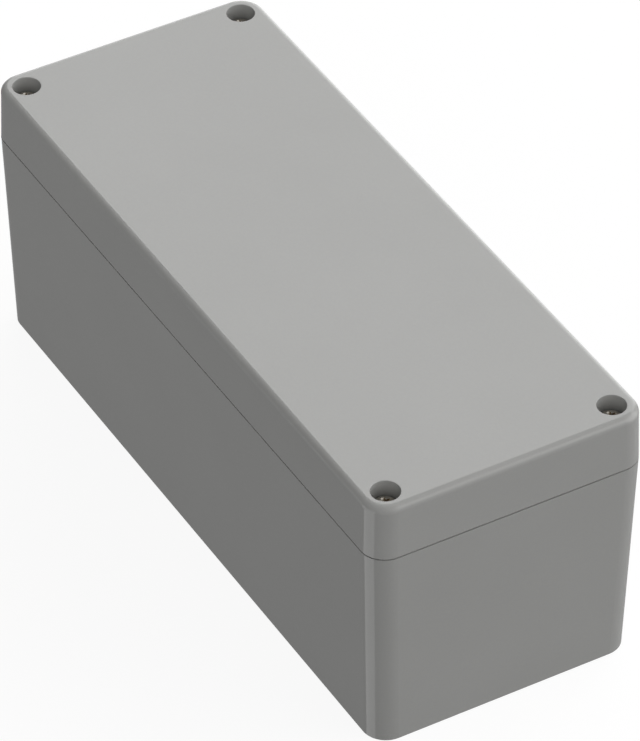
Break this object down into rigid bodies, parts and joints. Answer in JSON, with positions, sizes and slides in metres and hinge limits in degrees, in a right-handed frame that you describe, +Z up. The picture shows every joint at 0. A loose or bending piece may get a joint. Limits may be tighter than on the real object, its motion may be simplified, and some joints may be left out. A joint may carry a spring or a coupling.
{
  "type": "electrical enclosure",
  "caption": "Long grey moulded enclosure with drafted walls, a flush screwed lid with deep corner screw wells, a sealing cord and end channels for wall fixing.",
  "frame": {"origin": "middle of the flat underside, the centre of the case's foot", "axes": "+X along the case's long side, +Y across it, +Z up from the foot through the lid"},
  "size_m": [0.19, 0.0746, 0.0741],
  "materials": {
    "grp_grey": "smooth satin moulded glass-filled polyester",
    "gasket_rubber": "matte closed-cell cord",
    "stainless_screw": "plain stainless steel",
    "nylon_washer": "natural nylon",
    "brass_insert": "machined brass"
  },
  "bodies": {
    "base": {"base_moulding": "grp_grey", "lid_insert_1": "brass_insert", "lid_insert_2": "brass_insert", "lid_insert_3": "brass_insert", "lid_insert_4": "brass_insert", "floor_insert_1": "brass_insert", "floor_insert_2": "brass_insert", "floor_insert_3": "brass_insert", "floor_insert_4": "brass_insert", "floor_insert_5": "brass_insert", "floor_insert_6": "brass_insert"},
    "lid": {"lid_moulding": "grp_grey", "lid_gasket": "gasket_rubber"},
    "washer_1": {"screw_washer_1": "nylon_washer"},
    "screw_1": {"lid_screw_1": "stainless_screw"},
    "washer_2": {"screw_washer_2": "nylon_washer"},
    "screw_2": {"lid_screw_2": "stainless_screw"},
    "washer_3": {"screw_washer_3": "nylon_washer"},
    "screw_3": {"lid_screw_3": "stainless_screw"},
    "washer_4": {"screw_washer_4": "nylon_washer"},
    "screw_4": {"lid_screw_4": "stainless_screw"}
  },
  "joints": [
    {"name": "lid_lift", "type": "slide", "parent": "base", "child": "lid", "axis": [0, 0, 1], "range_m": [0, 0.04]},
    {"name": "screw_rise_1", "type": "slide", "parent": "lid", "child": "washer_1", "axis": [0, 0, 1], "range_m": [0, 0.00625]},
    {"name": "screw_turn_1", "type": "hinge", "parent": "washer_1", "child": "screw_1", "pos_m": [-0.0883, -0.03055, 0.059], "axis": [0, 0, 1], "range_deg": [0, 4501]},
    {"name": "screw_rise_2", "type": "slide", "parent": "lid", "child": "washer_2", "axis": [0, 0, 1], "range_m": [0, 0.00625]},
    {"name": "screw_turn_2", "type": "hinge", "parent": "washer_2", "child": "screw_2", "pos_m": [-0.0883, 0.03055, 0.059], "axis": [0, 0, 1], "range_deg": [0, 4501]},
    {"name": "screw_rise_3", "type": "slide", "parent": "lid", "child": "washer_3", "axis": [0, 0, 1], "range_m": [0, 0.00625]},
    {"name": "screw_turn_3", "type": "hinge", "parent": "washer_3", "child": "screw_3", "pos_m": [0.0883, -0.03055, 0.059], "axis": [0, 0, 1], "range_deg": [0, 4501]},
    {"name": "screw_rise_4", "type": "slide", "parent": "lid", "child": "washer_4", "axis": [0, 0, 1], "range_m": [0, 0.00625]},
    {"name": "screw_turn_4", "type": "hinge", "parent": "washer_4", "child": "screw_4", "pos_m": [0.0883, 0.03055, 0.059], "axis": [0, 0, 1], "range_deg": [0, 4501]}
  ],
  "couplings": [
    {"joint": "screw_turn_1", "follows": "screw_rise_1", "rad_per_m": 12566},
    {"joint": "screw_turn_2", "follows": "screw_rise_2", "rad_per_m": 12566},
    {"joint": "screw_turn_3", "follows": "screw_rise_3", "rad_per_m": 12566},
    {"joint": "screw_turn_4", "follows": "screw_rise_4", "rad_per_m": 12566}
  ]
}
